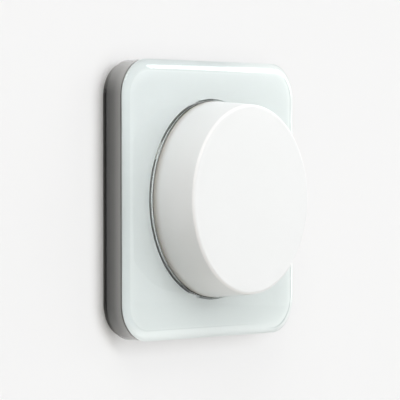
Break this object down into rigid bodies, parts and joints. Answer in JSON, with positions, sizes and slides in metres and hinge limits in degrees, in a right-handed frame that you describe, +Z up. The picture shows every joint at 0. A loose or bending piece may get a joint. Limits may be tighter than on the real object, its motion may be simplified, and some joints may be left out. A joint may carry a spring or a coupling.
{
  "type": "rotary push dimmer",
  "caption": "Flush-mounted rotary push dimmer: square glass frame with a large round knob on a claw-fixed mechanism for a round wall box.",
  "frame": {"origin": "middle of the wall plane, on the knob's axis and midway between the box screws", "axes": "+X to the right seen from the room, +Y into the wall, +Z up"},
  "size_m": [0.082, 0.0526, 0.082],
  "materials": {
    "clear_glass": "clear pane, ground edges",
    "white_film": "opaque white bonding film",
    "grey_carrier": "fine satin",
    "white_knob": "satin",
    "white_cover": "satin",
    "zinced_sheet": "zinc-plated sheet",
    "zinced_screw": "zinc-plated",
    "claw_sheet": "yellow passivated",
    "spring_steel": "bright",
    "cap_plastic": "light grey moulding",
    "case_plastic": "dark grey moulding",
    "die_cast": "die-cast",
    "brass_nut": "nickel-plated brass",
    "encoder_plastic": "moulded",
    "rotor_plastic": "acetal",
    "shaft_steel": "turned",
    "circuit_board": "solder resist",
    "chip_black": "moulded epoxy",
    "header_black": "moulded",
    "spreader_metal": "extruded",
    "ferrite": "sintered",
    "copper_wire": "enamelled copper",
    "capacitor_yellow": "moulded box",
    "capacitor_can": "sleeved can",
    "fuse_metal": "plated caps on a glass tube",
    "terminal_plastic": "light grey moulding",
    "bar_brass": "rolled",
    "button_orange": "moulded"
  },
  "bodies": {
    "mechanism": {"glass_plate": "clear_glass", "bonding_film": "white_film", "frame_carrier": "grey_carrier", "centre_cover": "white_cover", "support_frame": "zinced_sheet", "front_cap": "cap_plastic", "rear_case": "case_plastic", "housing_screws": "zinced_screw", "claw_pins": "zinced_screw", "encoder_bush": "die_cast", "encoder_body": "encoder_plastic", "encoder_pins": "fuse_metal", "bush_washer": "zinced_screw", "bush_nut": "brass_nut", "switch_dome": "spring_steel", "control_board": "circuit_board", "control_chips": "chip_black", "board_header": "header_black", "power_board": "circuit_board", "power_transistors": "chip_black", "heat_spreader": "spreader_metal", "choke_core": "ferrite", "choke_winding": "copper_wire", "film_capacitor": "capacitor_yellow", "bulk_capacitor": "capacitor_can", "fuse": "fuse_metal", "terminal_modules": "terminal_plastic", "terminal_bars": "bar_brass", "terminal_springs": "spring_steel", "button_spring_left": "spring_steel", "button_spring_right": "spring_steel"},
    "plunger": {"switch_plunger": "rotor_plastic"},
    "knob": {"knob_shell": "white_knob", "knob_clip": "spring_steel", "encoder_shaft": "shaft_steel", "shaft_circlip": "spring_steel"},
    "code_wheel": {"encoder_rotor": "rotor_plastic"},
    "screw_right": {"claw_screw_right": "zinced_screw"},
    "screw_left": {"claw_screw_left": "zinced_screw"},
    "claw_right": {"claw_right": "claw_sheet"},
    "claw_left": {"claw_left": "claw_sheet"},
    "button_left": {"release_button_left": "button_orange"},
    "button_right": {"release_button_right": "button_orange"}
  },
  "joints": [
    {"name": "knob_press", "type": "slide", "parent": "mechanism", "child": "plunger", "axis": [0, 1, 0], "range_m": [0, 0.0008], "stiffness_N_per_m": 2500, "springref_m": -0.0005, "deforming": ["switch_dome"]},
    {"name": "knob_turn", "type": "hinge", "parent": "plunger", "child": "knob", "pos_m": [0, 0, 0], "axis": [0, 1, 0], "continuous": true},
    {"name": "code_wheel_turn", "type": "hinge", "parent": "mechanism", "child": "code_wheel", "pos_m": [0, 0, 0], "axis": [0, 1, 0], "continuous": true},
    {"name": "screw_right_turn", "type": "hinge", "parent": "mechanism", "child": "screw_right", "pos_m": [0.0256, 0, 0.008], "axis": [0, 1, 0], "range_deg": [0, 1100]},
    {"name": "claw_right_swing", "type": "hinge", "parent": "mechanism", "child": "claw_right", "pos_m": [0.022, 0.0026, 0.008], "axis": [0, 0, -1], "range_deg": [0, 24]},
    {"name": "screw_left_turn", "type": "hinge", "parent": "mechanism", "child": "screw_left", "pos_m": [-0.0256, 0, 0.008], "axis": [0, 1, 0], "range_deg": [0, 1100]},
    {"name": "claw_left_swing", "type": "hinge", "parent": "mechanism", "child": "claw_left", "pos_m": [-0.022, 0.0026, 0.008], "axis": [0, 0, 1], "range_deg": [0, 24]},
    {"name": "button_left_press", "type": "slide", "parent": "mechanism", "child": "button_left", "axis": [0, -1, 0], "range_m": [0, 0.0015], "stiffness_N_per_m": 1200, "springref_m": -0.0005, "deforming": ["button_spring_left"]},
    {"name": "button_right_press", "type": "slide", "parent": "mechanism", "child": "button_right", "axis": [0, -1, 0], "range_m": [0, 0.0015], "stiffness_N_per_m": 1200, "springref_m": -0.0005, "deforming": ["button_spring_right"]}
  ],
  "couplings": [
    {"joint": "code_wheel_turn", "follows": "knob_turn", "ratio": 1},
    {"joint": "claw_right_swing", "follows": "screw_right_turn", "ratio": 0.0218},
    {"joint": "claw_left_swing", "follows": "screw_left_turn", "ratio": 0.0218}
  ]
}
